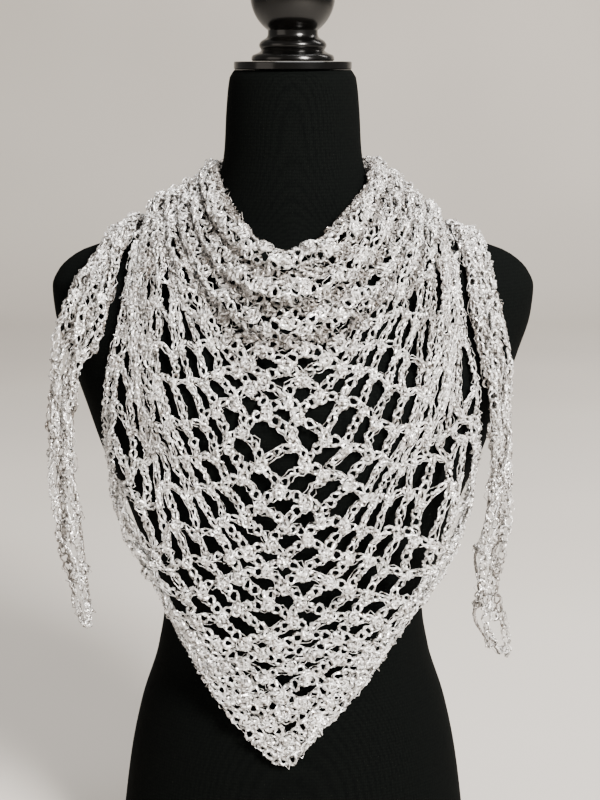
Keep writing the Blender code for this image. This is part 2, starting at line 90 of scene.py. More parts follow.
form = {
    "sides": 144,
    "ringSpace": 0.004,
    "top": 0.698,
    "sections": table(
        "height halfWidth front back roundness",     # roundness 2 is an ellipse, less is pointed
        (0.000, 0.157, 0.100, 0.108, 2.2),
        (0.047, 0.152, 0.101, 0.110, 2.2),
        (0.100, 0.145, 0.100, 0.108, 2.2),
        (0.147, 0.135, 0.096, 0.101, 2.2),
        (0.195, 0.120, 0.088, 0.089, 2.2),
        (0.235, 0.114, 0.085, 0.081, 2.2),
        (0.277, 0.127, 0.091, 0.082, 2.2),
        (0.336, 0.147, 0.104, 0.090, 2.2),
        (0.378, 0.165, 0.114, 0.097, 2.2),
        (0.420, 0.179, 0.118, 0.102, 2.2),
        (0.460, 0.193, 0.109, 0.104, 2.1),
        (0.495, 0.204, 0.093, 0.101, 2.0),
        (0.517, 0.206, 0.083, 0.095, 1.85),
        (0.531, 0.200, 0.077, 0.089, 1.6),
        (0.541, 0.190, 0.073, 0.084, 1.45),
        (0.549, 0.176, 0.070, 0.079, 1.35),
        (0.556, 0.153, 0.067, 0.075, 1.35),
        (0.566, 0.122, 0.063, 0.069, 1.4),
        (0.579, 0.091, 0.059, 0.063, 1.6),
        (0.598, 0.067, 0.056, 0.059, 1.9),
        (0.631, 0.058, 0.053, 0.055, 2.0),
        (0.665, 0.056, 0.052, 0.054, 2.0),
        (0.692, 0.053, 0.049, 0.051, 2.0),
        (0.698, 0.049, 0.045, 0.047, 2.0),
    ),
}


def formReach(points):
    # 1 on the form's surface, more outside it
    section = {name: curve(points[..., 2]) for name, curve in form["sections"].items()}
    depth = np.where(points[..., 1] > 0, section["back"], section["front"])
    n = section["roundness"]
    wide = np.abs(points[..., 0] / section["halfWidth"]) ** n
    return (wide + np.abs(points[..., 1] / depth) ** n) ** (1 / n)


def lifted(points, gap, held=0.0, turns=4):
    # moves points straight off the form to the gap; held cloth is drawn in to it as well
    step = 0.0005
    for _ in range(turns):
        reach = formReach(points)
        slope = np.stack([formReach(points + axis * step) - reach for axis in np.eye(3)], -1) / step
        move = gap - (reach - 1) / np.linalg.norm(slope, axis=-1)
        move = np.where(move < 0, move * held, move)
        points = points + unit(slope) * move[..., None]
    return points


# The cloth, by rows counted from the point of the triangle, 0, to the top border

cloth = {
    "centreX": -0.006,
    "topRow": 39,
    "shoulderRow": 19,            # the first row that crosses the shoulder
    "tailEndRow": 37,
    "wall": 0.0016,
    "restGap": 0.0021,
    "shoulderGap": 0.0015,
    "pleatRows": 20 / 6,          # six gathers over each shoulder
    "pleatFirstRow": 19 - 2 * 20 / 6,
    "shoulderPleat": 0.007,
    "cowlFold": 0.006,
    "napeStack": 0.0105,
    "tailStation": 8,
    "middle": table(
        "row height depth",
        (0, 0.128, 0.103),
        (3, 0.146, 0.104),
        (6, 0.175, 0.105),
        (9, 0.207, 0.108),
        (12, 0.240, 0.111),
        (15, 0.279, 0.114),
        (19, 0.330, 0.118),
        (22, 0.384, 0.119),
        (25, 0.437, 0.117),
        (27, 0.463, 0.115),
        (30, 0.492, 0.111),
        (33, 0.516, 0.106),
        (36, 0.537, 0.100),
        (39, 0.558, 0.092),
    ),
    "left": table(
        "row side height depth",
        (0, -0.021, 0.130, 0.102),
        (1.5, -0.044, 0.160, 0.100),
        (3, -0.067, 0.189, 0.095),
        (6, -0.103, 0.253, 0.081),
        (8.6, -0.132, 0.311, 0.067),
        (10, -0.149, 0.344, 0.057),
        (12, -0.155, 0.392, 0.055),
        (13.6, -0.150, 0.440, 0.071),
        (15.2, -0.141, 0.492, 0.069),
        (17, -0.131, 0.540, 0.044),
        (18, -0.127, 0.562, 0.022),
        (19, -0.121, 0.577, 0.003),
        (24, -0.110, 0.586, 0.000),
        (29, -0.096, 0.592, 0.000),
        (34, -0.080, 0.597, 0.000),
        (39, -0.062, 0.618, 0.000),
    ),
    "right": table(
        "row side height depth",
        (0, 0.006, 0.132, 0.102),
        (1.2, 0.024, 0.157, 0.100),
        (2, 0.039, 0.171, 0.097),
        (4, 0.069, 0.209, 0.090),
        (6, 0.096, 0.249, 0.081),
        (9, 0.137, 0.310, 0.062),
        (11, 0.151, 0.358, 0.053),
        (12, 0.154, 0.381, 0.054),
        (13.6, 0.149, 0.430, 0.070),
        (15.2, 0.140, 0.484, 0.070),
        (17, 0.131, 0.536, 0.045),
        (18, 0.127, 0.558, 0.022),
        (19, 0.121, 0.573, 0.003),
        (24, 0.111, 0.580, 0.000),
        (29, 0.099, 0.590, 0.000),
        (34, 0.084, 0.604, 0.000),
        (39, 0.064, 0.620, 0.000),
    ),
    "bow": curveThrough((0, 4, 8, 12, 16, 20, 25, 39), (1.0, 1.15, 1.4, 1.6, 1.6, 1.7, 1.9, 1.6)),
    # the long ends: shoulder, nape, other shoulder, tail; the inner edge is the top border
    "under": table(
        "station innerX innerY innerZ outerX outerY outerZ pleat",
        (0, -0.062, 0.000, 0.618, -0.121, -0.003, 0.577, 0.007),
        (1, -0.060, 0.016, 0.622, -0.119, 0.014, 0.573, 0.007),
        (2, -0.053, 0.034, 0.624, -0.112, 0.034, 0.561, 0.005),
        (3, -0.038, 0.052, 0.626, -0.090, 0.062, 0.545, 0.005),
        (4, 0.000, 0.060, 0.620, -0.030, 0.088, 0.532, 0.005),
        (5, 0.042, 0.052, 0.610, 0.045, 0.090, 0.528, 0.005),
        (6, 0.096, 0.046, 0.582, 0.116, 0.062, 0.536, 0.003),
        (7, 0.129, 0.022, 0.568, 0.146, 0.026, 0.552, 0.002),
        (8, 0.132, -0.004, 0.567, 0.154, -0.004, 0.558, 0.002),
        (9, 0.140, -0.032, 0.548, 0.164, -0.030, 0.538, 0.004),
        (10, 0.143, -0.060, 0.520, 0.169, -0.050, 0.512, 0.005),
        (11, 0.146, -0.071, 0.490, 0.174, -0.062, 0.489, 0.006),
        (12, 0.160, -0.073, 0.430, 0.180, -0.063, 0.438, 0.005),
        (13, 0.163, -0.067, 0.370, 0.182, -0.060, 0.376, 0.005),
        (14, 0.158, -0.062, 0.321, 0.182, -0.058, 0.324, 0.005),
        (15, 0.149, -0.060, 0.291, 0.180, -0.057, 0.294, 0.004),
        (16, 0.155, -0.058, 0.262, 0.174, -0.056, 0.264, 0.003),
        (17, 0.148, -0.056, 0.240, 0.181, -0.055, 0.238, 0.003),
        (18, 0.166, -0.055, 0.207, 0.187, -0.054, 0.206, 0.002),
    ),
    "over": table(
        "station innerX innerY innerZ outerX outerY outerZ pleat",
        (0, 0.064, 0.000, 0.620, 0.121, -0.003, 0.573, 0.007),
        (1, 0.062, 0.016, 0.623, 0.118, 0.014, 0.570, 0.007),
        (2, 0.055, 0.034, 0.624, 0.110, 0.034, 0.560, 0.005),
        (3, 0.040, 0.056, 0.622, 0.085, 0.068, 0.543, 0.005),
        (4, 0.000, 0.070, 0.612, 0.020, 0.096, 0.528, 0.005),
        (5, -0.045, 0.064, 0.604, -0.055, 0.096, 0.526, 0.005),
        (6, -0.096, 0.046, 0.590, -0.124, 0.062, 0.537, 0.003),
        (7, -0.129, 0.022, 0.577, -0.149, 0.026, 0.550, 0.003),
        (8, -0.130, -0.004, 0.574, -0.155, -0.004, 0.557, 0.003),
        (9, -0.139, -0.032, 0.550, -0.168, -0.030, 0.541, 0.004),
        (10, -0.145, -0.054, 0.524, -0.184, -0.050, 0.518, 0.005),
        (11, -0.152, -0.069, 0.487, -0.193, -0.062, 0.488, 0.006),
        (12, -0.175, -0.068, 0.448, -0.201, -0.064, 0.450, 0.006),
        (13, -0.181, -0.066, 0.385, -0.203, -0.064, 0.386, 0.005),
        (14, -0.174, -0.062, 0.313, -0.200, -0.061, 0.316, 0.005),
        (15, -0.170, -0.059, 0.262, -0.189, -0.058, 0.270, 0.004),
        (16, -0.168, -0.057, 0.232, -0.180, -0.056, 0.236, 0.002),
    ),
}
topRow, shoulderRow = cloth["topRow"], cloth["shoulderRow"]


def restGap(height):
    return cloth["restGap"] + cloth["shoulderGap"] * smooth(0.50, 0.55, height)


def bySide(across, row, name):
    return np.where(across < 0, cloth["left"][name](row), cloth["right"][name](row))


def frontBase(row, across):
    # the front before its gathers; across is -1 on the left edge and 1 on the right
    out = np.clip(np.abs(across), 0, 1)
    bow = cloth["bow"](row)
    bend = (out**bow + (1 - out) ** bow) ** (1 / bow)
    sideways, hang = out / bend, (1 - out) / bend
    side, high, deep = (bySide(across, row, name) for name in ("side", "height", "depth"))
    low, full = cloth["middle"]["height"](row), cloth["middle"]["depth"](row)
    x = cloth["centreX"] + (side - cloth["centreX"]) * sideways
    y = -(deep + (full - deep) * hang ** (bow / 2))
    z = high + (low - high) * hang
    points = np.stack((x, y, z), -1)
    return lifted(points, restGap(z))


def gather(row):
    return 0.5 - 0.5 * np.cos(2 * math.pi * (row - cloth["pleatFirstRow"]) / cloth["pleatRows"])


def gatherGrows(row):
    return smooth(cloth["pleatFirstRow"], shoulderRow + cloth["pleatRows"], row)


def surfaceNormal(base, first, second, steps):
    along = base(first + steps[0], second) - base(first - steps[0], second)
    across = base(first, second + steps[1]) - base(first, second - steps[1])
    return unit(np.cross(along, across))


def shoulderNormal(row, right):
    # the way the gathers stand where the cloth goes over the shoulder
    def line(name, at):
        return np.where(right, cloth["right"][name](at), cloth["left"][name](at))

    above, below = np.minimum(row + 1, topRow), np.maximum(row - 1, shoulderRow - 1)
    run = np.abs(line("side", below)) - np.abs(line("side", above))
    rise = line("height", above) - line("height", below)
    return unit(np.stack((np.copysign(rise, line("side", row)), 0 * run, run), -1))


def frontPoint(row, across):
    rowInside = np.clip(row, 0.4, topRow - 0.4)
    acrossInside = np.clip(across, -0.985, 0.985)
    outward = -surfaceNormal(frontBase, rowInside, acrossInside, (0.4, 0.01))
    near = smooth(0.75, 1, np.abs(across)) * smooth(shoulderRow - 3, shoulderRow, row)
    outward = outward + (shoulderNormal(row, across > 0) - outward) * near[..., None]
    sideways = smooth(0.2, 0.9, np.abs(across))
    shoulder = cloth["shoulderPleat"] * sideways * gatherGrows(row)
    cowl = cloth["cowlFold"] * (1 - sideways) * smooth(25, 30, row)
    height = gather(row) * (shoulder + cowl)
    return frontBase(row, across) + unit(outward) * height[..., None]


# The mesh: arches of chain, each standing on the tops of two arches of the row below

net = {
    "meshWidth": 0.034,           # one arch, laid flat
    "meshHeight": 0.0185,
    "archPoints": 15,             # along an arch, before it becomes links
    "edgePoints": 7,
    "shoulderHalf": 10,           # arches from the middle to the shoulder, in the first row to cross it
    "neckHalf": 4,                # and in the last
    "endArches": 14.4,            # in a row of a long end, from the shoulder to its tip
    "linkPitch": 0.0078,          # from one link of the chain to the next
    "linkLength": 0.0112,         # over all, with what it overlaps the next
    "linkWidth": 0.0102,
    "ribbonWidth": 0.0032,
    "ribbonThickness": 0.0016,
    "frontRibbon": 1.05,          # the front isn't drawn tight, so its ribbon spreads wider
    "linkPoints": 10,
    "ribbonSides": 4,
    "pinch": 0.34,                # how much slimmer a link is where the next one holds it
    "overlap": 0.0008,            # how much higher one end of a loop lies, over the next, than the other
    "flutter": 0.00035,           # how unevenly a loop lies, out of its plane
    "wander": 0.00022,            # and any way
    "edgeInset": 0.0040,          # near half a rope, so that the yarn ends where the cloth does
    "tailInset": 0.0022,
    "leastGap": 0.0004,           # from the form to any yarn
    "lift": 0.0012,               # the yarn's middle above the cloth's own surface
    "ridgeLift": 0.0012,          # how much more a gather's ridge stands up, and its furrow sinks
    # how round the rows of arches hang: 1 is a plain V, 2 a half ellipse
    "bow": curveThrough((0, 4, 8, 12, 20, 28, 34, 39), (1.0, 1.3, 1.7, 2.0, 2.1, 2.1, 1.8, 1.6)),
    "slack": 0.10,                # how far the tops of arches stray from an even mesh, in arches and rows
    "sideSlack": 0.24,            # the same in arches for the upright rows at the two sides
    "drift": (0.07, 0.12),        # how far whole patches of mesh are pulled out of line, in arches and rows
    "sideDrift": 0.36,            # arches that the upright rows at the sides slip by
    "sideDriftRows": 4.6,         # rows from one such slip to the next
    "fullSpacing": 0.0185,        # upright rows closer than this are pulled into narrower chain
    "leastWidth": 0.6,
    "looser": 0.28,               # how much wider the slack chain is at the point and in the cowl
}

# fine ends of ribbon that wander along a chain
wisp = {
    "points": 14,                 # along each side
    "sides": 3,
    "width": 0.0009,
    "sway": (0.0027, 0.0047),     # from the middle of the chain
    "stand": 0.0012,              # above the chain's middle
    "unrest": (0.0008, 0.0014),   # sideways and outward
}

# small loops that have slipped out at the edges
slipped = {
    "count": 46,
    "length": 0.0105,
    "width": 0.0085,
    "ribbon": 0.0012,
    "hang": 0.42,                 # of its length that a loop's middle is out
    "turn": 0.35,
    "pinch": 0.22,
}

# a knot is two crossed loops: one up the rows over one along the row
knotForm = {
    "up": (0.0112, 0.0078, 0.0007),       # length, width, and how far it stands out
    "along": (0.0114, 0.0080, -0.0003),
    "ribbon": 0.0030,
    "turn": 0.25,
    "pinch": 0.1,
}


class LongEnd:
    # one end of the scarf, from the front's shoulder line round the nape to the tip of its tail

    def __init__(self, name, last, startsRight, stack):
        self.columns = cloth[name]
        self.last = last              # the station at its tip
        self.right = startsRight
        self.stack = stack
        self.stations = np.arange(last + 1.0)
        spine = (self.edge("inner", self.stations) + self.edge("outer", self.stations)) / 2
        self.lengths = np.concatenate(([0], np.cumsum(np.linalg.norm(np.diff(spine, axis=0), axis=1))))

    def edge(self, name, station):
        return np.stack([self.columns[name + axis](station) for axis in "XYZ"], -1)

    def firstRow(self, station):
        length = np.interp(station, self.stations, self.lengths)
        return shoulderRow + (cloth["tailEndRow"] - shoulderRow) * length / self.lengths[-1]

    def stationAt(self, arches):
        # the station that lies so many arches past the shoulder
        return np.interp(arches * self.lengths[-1] / net["endArches"], self.lengths, self.stations)

    def base(self, share, station):
        share = share[..., None]
        straight = self.edge("outer", station) * (1 - share) + self.edge("inner", station) * share
        row = shoulderRow + (topRow - shoulderRow) * share[..., 0]
        line = cloth["right" if self.right else "left"]
        ridge = np.stack((line["side"](row), -line["depth"](row), line["height"](row)), -1)
        start = self.edge("outer", 0.0) * (1 - share) + self.edge("inner", 0.0) * share
        points = straight + (ridge - start) * (1 - smooth(0, 2, station))[..., None]
        held = smooth(0.9, 2.2, station) * (1 - smooth(6.3, 7.7, station))
        return lifted(points, restGap(points[..., 2]) + self.stack * held, held)

    def point(self, row, station):
        first = self.firstRow(station)
        width = np.linalg.norm(self.edge("inner", station) - self.edge("outer", station), axis=-1)
        inset = net["tailInset"] / width * smooth(0, 1, station)
        share = inset + (1 - 2 * inset) * np.clip((row - first) / (topRow - first), 0, 1)
        shareInside = np.clip(share, 0.1, 0.9)
        stationInside = np.clip(station, 0.2, self.last - 0.2)
        outward = surfaceNormal(self.base, shareInside, stationInside, (0.1, 0.2))
        points = self.base(share, station)
        inward = formReach(points + outward * cloth["wall"]) < formReach(points)
        outward = np.where(inward[..., None], -outward, outward)
        left = smooth(0, 1.5, station)
        ridge = shoulderNormal(shoulderRow + (topRow - shoulderRow) * share, self.right)
        outward = unit(ridge + (outward - ridge) * left[..., None])
        grown = gatherGrows(row)
        height = self.columns["pleat"](station) * (grown + (1 - grown) * left) * gather(row)
        return points + outward * height[..., None]


underEnd = LongEnd("under", 18, False, 0.0)
overEnd = LongEnd("over", 16, True, cloth["napeStack"])


def ridgeHalf(row):
    # arches from the middle line to the front's edge, or to the top of the shoulder
    past = row - shoulderRow
    wide, narrow = net["shoulderHalf"], net["neckHalf"]
    return np.where(past < 0, (row + 1) / 2, wide - (wide - narrow) * past / (topRow - shoulderRow))


def rowDrop(row, out):
    # how far down a row hangs at a share of its reach sideways: 1 in the middle, 0 at its edge
    bow = cloth["bow"](row)
    return (1 - np.clip(out, 0, 1) ** bow) ** (1 / bow)


netSteps = 120                    # along each half row


def netPlaces(side):
    # where on the cloth each row of arches runs, at even shares of its length from the middle
    edge = cloth["left" if side < 0 else "right"]
    even = np.linspace(0, 1, netSteps + 1)
    rows, out = np.meshgrid(np.linspace(0, topRow, 2 * topRow + 1), even, indexing="ij")

    def reach(row):
        return edge["side"](row) - cloth["centreX"]

    def height(row, drop):
        return edge["height"](row) + (cloth["middle"]["height"](row) - edge["height"](row)) * drop

    bow = net["bow"](rows)
    turn = out * math.pi / 2
    out, drop = np.sin(turn) ** (2 / bow), np.cos(turn) ** (2 / bow)
    x, z = reach(rows) * out, height(rows, drop)
    # the cloth's row at that place is near the net's own, and found by halving
    low, high = np.maximum(rows - 4, 0), np.minimum(rows + 4, topRow)
    for _ in range(16):
        middle = (low + high) / 2
        above = height(middle, rowDrop(middle, x / reach(middle))) > z
        low, high = np.where(above, low, middle), np.where(above, middle, high)
    found = (low + high) / 2
    found[:, -1] = rows[:, -1]
    away = np.clip(x / reach(found), 0, 1)
    across = side * away / (away + rowDrop(found, away))
    across[:, -1] = side
    lengths = np.linalg.norm(np.diff(frontBase(found, across), axis=1), axis=-1)
    run = np.concatenate((np.zeros((len(rows), 1)), np.cumsum(lengths, 1)), 1)
    places = [
        [np.interp(even, line / line[-1], values) for line, values in zip(run, grid)]
        for grid in (found, across)
    ]
    return np.array(places), run[:, -1]


netAt = {side: netPlaces(side) for side in (-1, 1)}


def frontPlace(row, share):
    # the cloth's own row and across for a row of arches; share is -1 on the left edge, 1 on the right
    at = np.clip(row * 2, 0, 2 * topRow - 1e-6)
    i = at.astype(int)
    y = at - i
    found = 0
    for side in (-1, 1):
        grid, length = netAt[side]
        inset = net["edgeInset"] / length[i] * (1 - smooth(shoulderRow - 2, shoulderRow, row))
        far = np.clip(np.abs(share) * (1 - inset), 0, 1) * netSteps
        j = np.minimum(far.astype(int), netSteps - 1)
        x = far - j
        low = grid[:, i, j] * (1 - x) + grid[:, i, j + 1] * x
        high = grid[:, i + 1, j] * (1 - x) + grid[:, i + 1, j + 1] * x
        found = found + np.where((share < 0) == (side < 0), low * (1 - y) + high * y, 0)
    return found


# a few long waves across the mesh: waves per arch and per row, and where each starts
pulls = [
    (dice.uniform(0.10, 0.32), dice.uniform(0.06, 0.22), dice.uniform(0, 2 * math.pi, 2))
    for _ in range(5)
]


def drift(s, v):
    # how far the mesh is pulled along its rows and up them, nothing at the slanted edges
    byEdge = smooth(0, 2.5, (v + 1) / 2 - np.abs(s)) * smooth(0, 2.5, topRow - 1 - v)
    moved = [0, 0]
    for k, (byArch, byRow, start) in enumerate(pulls):
        for axis in (0, 1):
            sway = byArch * s * (1 if k % 2 else -1) + byRow * v
            moved[axis] = moved[axis] + np.sin(2 * math.pi * sway + start[axis]) / 2
    share = np.abs(s) / ridgeHalf(v)
    aside = smooth(0.3, 0.6, share) * (1 - smooth(0.85, 1, share))
    slip = net["sideDrift"] * np.sin(2 * math.pi * v / net["sideDriftRows"] + 1.3 * s) * aside
    return [net["drift"][0] * moved[0] * byEdge + slip, net["drift"][1] * moved[1] * byEdge]


def clothPoint(s, v):
    # s in arches from the middle line, v in rows
    s, v = np.broadcast_arrays(np.asarray(s, float), np.asarray(v, float))
    pulledS, pulledV = drift(s, v)
    s, v = s + pulledS, v + pulledV
    v = np.clip(v, 0, topRow - 0.5)
    half = ridgeHalf(v)
    points = frontPoint(*frontPlace(v, np.clip(s / half, -1, 1)))
    for end, side in ((underEnd, -1), (overEnd, 1)):
        past = (side * s > half) & (v >= shoulderRow)
        if past.any():
            points[past] = end.point(v[past], end.stationAt(side * s[past] - half[past]))
    return points


def pieceOf(s, v):
    if v < shoulderRow:
        return "frontLower"
    half = ridgeHalf(v)
    if abs(s) <= half:
        return "frontLeft" if s < 0 else "frontRight"
    end, nape, tail = (underEnd, "napeUnder", "tailRight") if s < 0 else (overEnd, "napeOver", "tailLeft")
    return nape if end.stationAt(abs(s) - half) < cloth["tailStation"] else tail


def lastArch(row):
    # how far out a row reaches, in arches: the tails end before the triangle's very corners would
    return min((row + 1) / 2, ridgeHalf(row) + net["endArches"]) if row >= shoulderRow else (row + 1) / 2


# every top of an arch strays a little, and the feet that stand on it stray with it
stray = dice.normal(0, 1, (topRow + 2, topRow + 3, 2)).clip(-1.8, 1.8)


def strayAt(row, arch):
    if row < 0 or arch < 0 or arch > row:
        return np.zeros(2)
    share = abs(arch - row / 2) / ridgeHalf(row)
    aside = smooth(0.35, 0.7, share) * (share < 1)
    along = net["slack"] + (net["sideSlack"] - net["slack"]) * aside
    return stray[row, arch] * (along, net["slack"])


paths = []                        # stretches of chain: s and v of their points, and the piece they belong to
knots = []                        # s, v and piece


def addArch(row, arch):
    centre = arch - row / 2
    if abs(centre) > lastArch(row) - 0.4:
        return
    u = np.linspace(0, 1, net["archPoints"])
    angle = math.pi * u
    # nearly half an ellipse, drawn out a little at its feet
    s = centre - 0.5 * (0.8 * np.cos(angle) + 0.2 * (1 - 2 * u))
    v = row + np.sin(angle) ** 0.9
    feetLeft, feetRight = strayAt(row - 1, arch - 1), strayAt(row - 1, arch)
    top = strayAt(row, arch)
    toTop = np.sin(angle)[:, None] ** 2
    feet = feetLeft + (feetRight - feetLeft) * u[:, None]
    offset = feet * (1 - toTop) + top * toTop
    paths.append((s + offset[:, 0], v + offset[:, 1], pieceOf(centre, row + 0.5)))
    knots.append((centre + top[0], row + 1 + top[1], pieceOf(centre, min(row + 1, topRow))))


for row in range(topRow):
    for arch in range(row + 1):
        addArch(row, arch)


def addEdges():
    # a chain up both slanted edges, and one along the top border
    u = np.linspace(0, 1, net["edgePoints"])
    for row in range(topRow - 1):
        for side in (-1, 1):
            if (row + 1) / 2 > lastArch(row):
                continue
            s = side * ((row + 1) / 2 + u / 2)
            v = row + 0.05 + u
            paths.append((s, v, pieceOf(side * (row + 0.9) / 2, row + 0.4)))
    # the ring at the very point, closed below
    ring = np.linspace(-0.42, 0.42, net["edgePoints"])
    paths.append((ring, 0.0 * ring, "frontLower"))
    reach = math.floor(2 * (ridgeHalf(float(topRow)) + net["endArches"])) / 2
    for start in np.arange(-reach, reach, 0.5):
        paths.append((start + u / 2, 0 * u + topRow - 0.15, pieceOf(start + 0.25, topRow)))


addEdges()
print("mesh:", len(paths), "stretches of chain,", len(knots), "knots")


def clothFrame(s, v):
    # places on the cloth, with the way along the row and the way out
    archStep, rowStep = 0.06, 0.12
    points = clothPoint(s, v)
    along = clothPoint(s + archStep, v) - clothPoint(s - archStep, v)
    up = clothPoint(s, np.minimum(v + rowStep, topRow)) - clothPoint(s, np.maximum(v - rowStep, 0))
    outward = unit(np.cross(along, up))
    return points, unit(along), outward


def ribbons(line, outward, ribbon, sides):
    # a twisting flat ribbon round each closed line, narrower and wider by turns
    count, turns = line.shape[:2]
    around = np.linspace(0, 2 * math.pi, turns, endpoint=False)[None, :]
    tangent = unit(np.roll(line, -1, 1) - np.roll(line, 1, 1))
    first = unit(np.cross(tangent, outward + 0 * tangent))
    second = np.cross(first, tangent)
    start = dice.uniform(0, math.pi, (count, 1))
    twist = start + np.sin(around * 2 + dice.uniform(0, 6, (count, 1))) * 0.9
    breadth = ribbon[:, None] / 2 * dice.uniform(0.8, 1.15, (count, turns))
    thick = breadth * net["ribbonThickness"] / net["ribbonWidth"]
    angle = 2 * math.pi * np.arange(sides) / sides
    flat = breadth[..., None] * np.cos(angle)
    proud = thick[..., None] * np.sin(angle)
    ct, st = np.cos(twist)[..., None], np.sin(twist)[..., None]
    a = flat * ct - proud * st
    b = flat * st + proud * ct
    verts = line[:, :, None] + a[..., None] * first[:, :, None] + b[..., None] * second[:, :, None]

    i = np.arange(count)[:, None, None] * turns * sides
    j = np.arange(turns)[None, :, None]
    k = np.arange(sides)[None, None, :]
    j2, k2 = (j + 1) % turns, (k + 1) % sides
    corners = ((j, k), (j2, k), (j2, k2), (j, k2))
    faces = np.stack([i + turn * sides + side for turn, side in corners], -1)
    return verts.reshape(-1, 3), faces.reshape(-1, 4)


def vary(middle, spread, count):
    return middle * dice.uniform(1 - spread, 1 + spread, count)


def loops(centres, along, outward, length, width, ribbon, roll, pitch, pinch):
    # closed loops of ribbon, one for each centre: long the way of along, flat to outward
    count, turns = len(centres), net["linkPoints"]
    along = unit(along)
    across = unit(np.cross(outward, along))
    outward = np.cross(along, across)
    c, s = np.cos(roll)[:, None], np.sin(roll)[:, None]
    across, outward = across * c + outward * s, outward * c - across * s
    c, s = np.cos(pitch)[:, None], np.sin(pitch)[:, None]
    along, outward = along * c + outward * s, outward * c - along * s

    around = np.linspace(0, 2 * math.pi, turns, endpoint=False)[None, :] + dice.uniform(0, 0.4, (count, 1))
    inside = np.maximum(width - ribbon, width * 0.3)[:, None] / 2
    reach = (length - ribbon)[:, None] / 2
    u = reach * np.cos(around)
    w = inside * np.sin(around) * (1 - pinch * np.cos(around))
    rise = net["overlap"] * np.cos(around) + dice.normal(0, net["flutter"], (count, turns))
    line = (
        centres[:, None]
        + u[..., None] * along[:, None]
        + w[..., None] * across[:, None]
        + rise[..., None] * outward[:, None]
    )
    line = line + dice.normal(0, net["wander"], line.shape)
    return ribbons(line, outward[:, None], ribbon, net["ribbonSides"])


def tuckedIn(s, v):
    # 1 in the furrow between two gathers, 0 on a ridge and where the cloth isn't gathered; the yarn's colour
    # is also darkened there as painted shade
    sideways = smooth(0.25, 0.8, np.abs(s) / ridgeHalf(v))
    gathered = np.maximum(gatherGrows(v) * sideways, smooth(25, 30, v))
    return gathered * (1 - gather(v))


def rowRoom(s, v, points, along):
    # 1 where the rows lie well apart, less where the front hangs in upright ropes, more where it is slack
    across = clothPoint(s, np.minimum(v + 0.5, topRow)) - clothPoint(s, np.maximum(v - 0.5, 0))
    across = across - along * (across * along).sum(-1, keepdims=True)
    room = np.clip(np.linalg.norm(across, axis=-1) / net["fullSpacing"], net["leastWidth"], 1)
    upright = smooth(0.3, 0.75, np.abs(along[..., 2])) * np.where(np.abs(s) < ridgeHalf(v), 1, 0.4)
    inCowl = smooth(26, 29, v) * (1 - smooth(0.5, 0.9, np.abs(s) / ridgeHalf(v)))
    slack = np.maximum(1 - smooth(5, 12, v), inCowl)
    return (1 - (1 - room) * upright) * (1 + net["looser"] * slack)


def resampled(run, values, ends):
    return np.stack([np.interp(ends, run, values[:, k]) for k in range(values.shape[1])], -1)


def chainLinks():
    # every stretch of chain becomes links, end to end and partly through each other. A row for each is
    # its place, the way out, how far it is tucked in, its room and the way to the next
    links, wisps = {}, {}
    flatS = np.concatenate([path[0] for path in paths])
    flatV = np.concatenate([path[1] for path in paths])
    points, along, outward = clothFrame(flatS, flatV)
    tucked = tuckedIn(flatS, np.clip(flatV, 0, topRow))
    room = rowRoom(flatS, flatV, points, along)
    rows = np.concatenate((points, outward, tucked[:, None], room[:, None]), 1)
    start = 0
    for s, v, piece in paths:
        mine = rows[start:start + len(s)]
        start += len(s)
        run = np.concatenate(([0], np.cumsum(np.linalg.norm(np.diff(mine[:, :3], axis=0), axis=1))))
        count = max(1, round(run[-1] / net["linkPitch"]))
        ends = np.linspace(0, run[-1], count + 1)
        joints = resampled(run, mine[:, :3], ends)
        seats = resampled(run, mine, (ends[1:] + ends[:-1]) / 2)
        links.setdefault(piece, []).append(np.concatenate((seats, np.diff(joints, axis=0)), 1))
        wisps.setdefault(piece, []).append(resampled(run, mine, np.linspace(0, run[-1], wisp["points"])))
    return links, wisps


def wispLoops(lines):
    # fine ends of the ribbon wander up one side of a chain and down the other
    mine = np.array(lines)
    count, half = mine.shape[:2]
    centre, outward = mine[..., :3], unit(mine[..., 3:6])
    across = unit(np.cross(outward, unit(np.gradient(centre, axis=1))))
    sides = []
    for side in (-1, 1):
        sway = side * dice.uniform(*wisp["sway"], (count, half))
        sway = (sway + dice.normal(0, wisp["unrest"][0], (count, half))) * mine[..., 7]
        stand = net["lift"] + wisp["stand"] + dice.normal(0, wisp["unrest"][1], (count, half))
        sides.append(centre + across * sway[..., None] + outward * stand[..., None])
    line = np.concatenate((sides[0], sides[1][:, ::-1]), 1)
    facing = np.concatenate((outward, outward[:, ::-1]), 1)
    verts, faces = ribbons(line, facing, vary(wisp["width"], 0.3, count), wisp["sides"])
    return verts, faces, np.repeat(mine[..., 6].mean(1), 2 * half * wisp["sides"])


def strayLoops():
    # thin loops that have slipped out along the two slanted edges
    count = slipped["count"]
    rows = dice.uniform(1.5, 26, count)
    sides = dice.choice([-1, 1], count)
    s = sides * (np.minimum((rows + 1) / 2, ridgeHalf(rows) + net["endArches"]) - 0.04)
    points, along, outward = clothFrame(s, rows)
    out = along * sides[:, None]
    length = vary(slipped["length"], 0.2, count)
    verts, faces = loops(
        points + out * (length[:, None] * slipped["hang"]),
        out + dice.normal(0, slipped["turn"], (count, 3)),
        outward,
        length,
        vary(slipped["width"], 0.2, count),
        vary(slipped["ribbon"], 0.3, count),
        dice.normal(0, 0.5, count),
        dice.normal(0, 0.3, count),
        slipped["pinch"],
    )
    perLoop = net["linkPoints"] * net["ribbonSides"]
    pieces = [pieceOf(place, row) for place, row in zip(s, rows)]
    found = {}
    for piece in dict.fromkeys(pieces):
        mine = [i for i, name in enumerate(pieces) if name == piece]
        picked = np.concatenate([verts[i * perLoop:(i + 1) * perLoop] for i in mine])
        found[piece] = (picked, faces[:len(mine) * perLoop], np.zeros(len(picked)))
    return found


